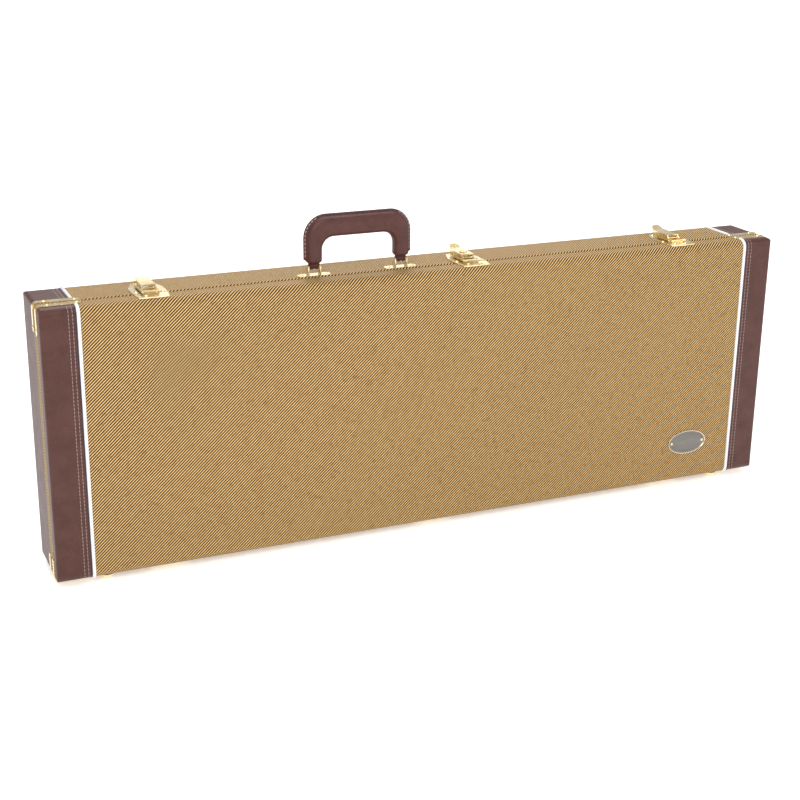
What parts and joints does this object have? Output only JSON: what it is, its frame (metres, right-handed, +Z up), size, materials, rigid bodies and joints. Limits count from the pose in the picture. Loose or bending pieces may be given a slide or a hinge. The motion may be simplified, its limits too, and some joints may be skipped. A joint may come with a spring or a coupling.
{
  "type": "guitar case",
  "caption": "Rectangular hard guitar case in diagonal tweed with leather ends, piping, brass corner guards, draw latches, a stitched handle and a padded interior under a hinged lid.",
  "frame": {"origin": "on the floor under the middle of the case's box, the case standing on its spine feet", "axes": "+X along the case toward the neck end, -Y out of the lid (front), +Y out of the back panel, +Z up toward the handle"},
  "size_m": [1.0646, 0.1088, 0.4485],
  "materials": {
    "plywood": "plain birch plywood, unseen once lined",
    "tweed": "golden tan woven tweed with a diagonal twill line, lightly lacquered",
    "leatherette": "dark brown fine-grained leatherette, soft sheen",
    "handle_leather": "dark brown stitched leather",
    "piping": "off-white vinyl piping",
    "gilt_brass": "polished gilt brass plate",
    "steel": "plain steel",
    "badge_metal": "satin grey metal with a bright bevelled rim",
    "plush": "short-pile plush over foam",
    "ribbon": "woven ribbon"
  },
  "bodies": {
    "case_body": {"back_panel": "plywood", "body_feet": "gilt_brass", "body_guards": "gilt_brass", "body_leather": "leatherette", "body_nails": "gilt_brass", "body_piping": "piping", "body_rivets": "gilt_brass", "body_tweed": "tweed", "compartment_pins": "steel", "compartment_walls": "plywood", "end_pads": "plush", "floor_pad": "plush", "handle_pins": "steel", "handle_plates": "gilt_brass", "hinge_body_leaves": "gilt_brass", "hinge_pins": "steel", "latch_base_left": "gilt_brass", "latch_base_middle": "gilt_brass", "latch_base_right": "gilt_brass", "latch_pins": "gilt_brass", "left_wall": "plywood", "lock_keeper": "gilt_brass", "neck_block": "plush", "neck_cradle": "plush", "right_wall": "plywood", "rim_tongue": "plywood", "spine_wall": "plywood", "top_wall": "plywood", "waist_bolsters": "plush", "wall_pads": "plush"},
    "case_lid": {"lid_feet": "gilt_brass", "lid_guards": "gilt_brass", "lid_leather": "leatherette", "lid_left_wall": "plywood", "lid_nails": "gilt_brass", "lid_pad": "plush", "lid_piping": "piping", "lid_right_wall": "plywood", "lid_rivets": "gilt_brass", "lid_spine_wall": "plywood", "lid_top_wall": "plywood", "lid_tweed": "tweed", "lid_wall_lining": "plush", "front_panel": "plywood", "hinge_lid_leaves": "gilt_brass", "latch_catches": "gilt_brass", "badge_plate": "badge_metal"},
    "handle": {"handle_grip": "handle_leather", "handle_core": "steel"},
    "compartment_lid": {"compartment_lid": "plywood", "compartment_pull": "ribbon"},
    "latch_lever_left": {"latch_lever_left": "gilt_brass"},
    "latch_lever_middle": {"latch_lever_middle": "gilt_brass", "lock_housing": "gilt_brass"},
    "latch_lever_right": {"latch_lever_right": "gilt_brass"},
    "latch_link_left": {"latch_link_left": "gilt_brass"},
    "latch_link_middle": {"latch_link_middle": "gilt_brass"},
    "latch_link_right": {"latch_link_right": "gilt_brass"},
    "lock": {"lock_plug": "gilt_brass"}
  },
  "joints": [
    {"name": "lid_hinge", "type": "hinge", "parent": "case_body", "child": "case_lid", "pos_m": [0, -0.025, 0.0043], "axis": [1, 0, 0], "range_deg": [0, 100]},
    {"name": "handle_swing", "type": "hinge", "parent": "case_body", "child": "handle", "pos_m": [-0.106, -0.013, 0.379], "axis": [1, 0, 0], "range_deg": [-75, 75]},
    {"name": "latch_lever_left_hinge", "type": "hinge", "parent": "case_body", "child": "latch_lever_left", "pos_m": [-0.387, -0.015, 0.3725], "axis": [1, 0, 0], "range_deg": [0, 120]},
    {"name": "latch_link_left_hinge", "type": "hinge", "parent": "latch_lever_left", "child": "latch_link_left", "pos_m": [-0.387, 0.005, 0.3718], "axis": [1, 0, 0], "range_deg": [-132, 0]},
    {"name": "latch_lever_middle_hinge", "type": "hinge", "parent": "case_body", "child": "latch_lever_middle", "pos_m": [0.054, -0.015, 0.3725], "axis": [1, 0, 0], "range_deg": [0, 120]},
    {"name": "latch_link_middle_hinge", "type": "hinge", "parent": "latch_lever_middle", "child": "latch_link_middle", "pos_m": [0.054, 0.005, 0.3718], "axis": [1, 0, 0], "range_deg": [-132, 0]},
    {"name": "latch_lever_right_hinge", "type": "hinge", "parent": "case_body", "child": "latch_lever_right", "pos_m": [0.382, -0.015, 0.3725], "axis": [1, 0, 0], "range_deg": [0, 120]},
    {"name": "latch_link_right_hinge", "type": "hinge", "parent": "latch_lever_right", "child": "latch_link_right", "pos_m": [0.382, 0.005, 0.3718], "axis": [1, 0, 0], "range_deg": [-132, 0]},
    {"name": "lock_turn", "type": "hinge", "parent": "latch_lever_middle", "child": "lock", "pos_m": [0.054, -0.001, 0.3701], "axis": [0, 0, 1], "range_deg": [0, 90]},
    {"name": "compartment_lid_hinge", "type": "hinge", "parent": "case_body", "child": "compartment_lid", "pos_m": [0.12, -0.0194, 0.0267], "axis": [1, 0, 0], "range_deg": [0, 90]}
  ],
  "couplings": [
    {"joint": "latch_link_left_hinge", "follows": "latch_lever_left_hinge", "ratio": -1.1},
    {"joint": "latch_link_middle_hinge", "follows": "latch_lever_middle_hinge", "ratio": -1.1},
    {"joint": "latch_link_right_hinge", "follows": "latch_lever_right_hinge", "ratio": -1.1},
    {"joint": "compartment_lid_hinge", "follows": "lid_hinge", "ratio": 0.9}
  ]
}
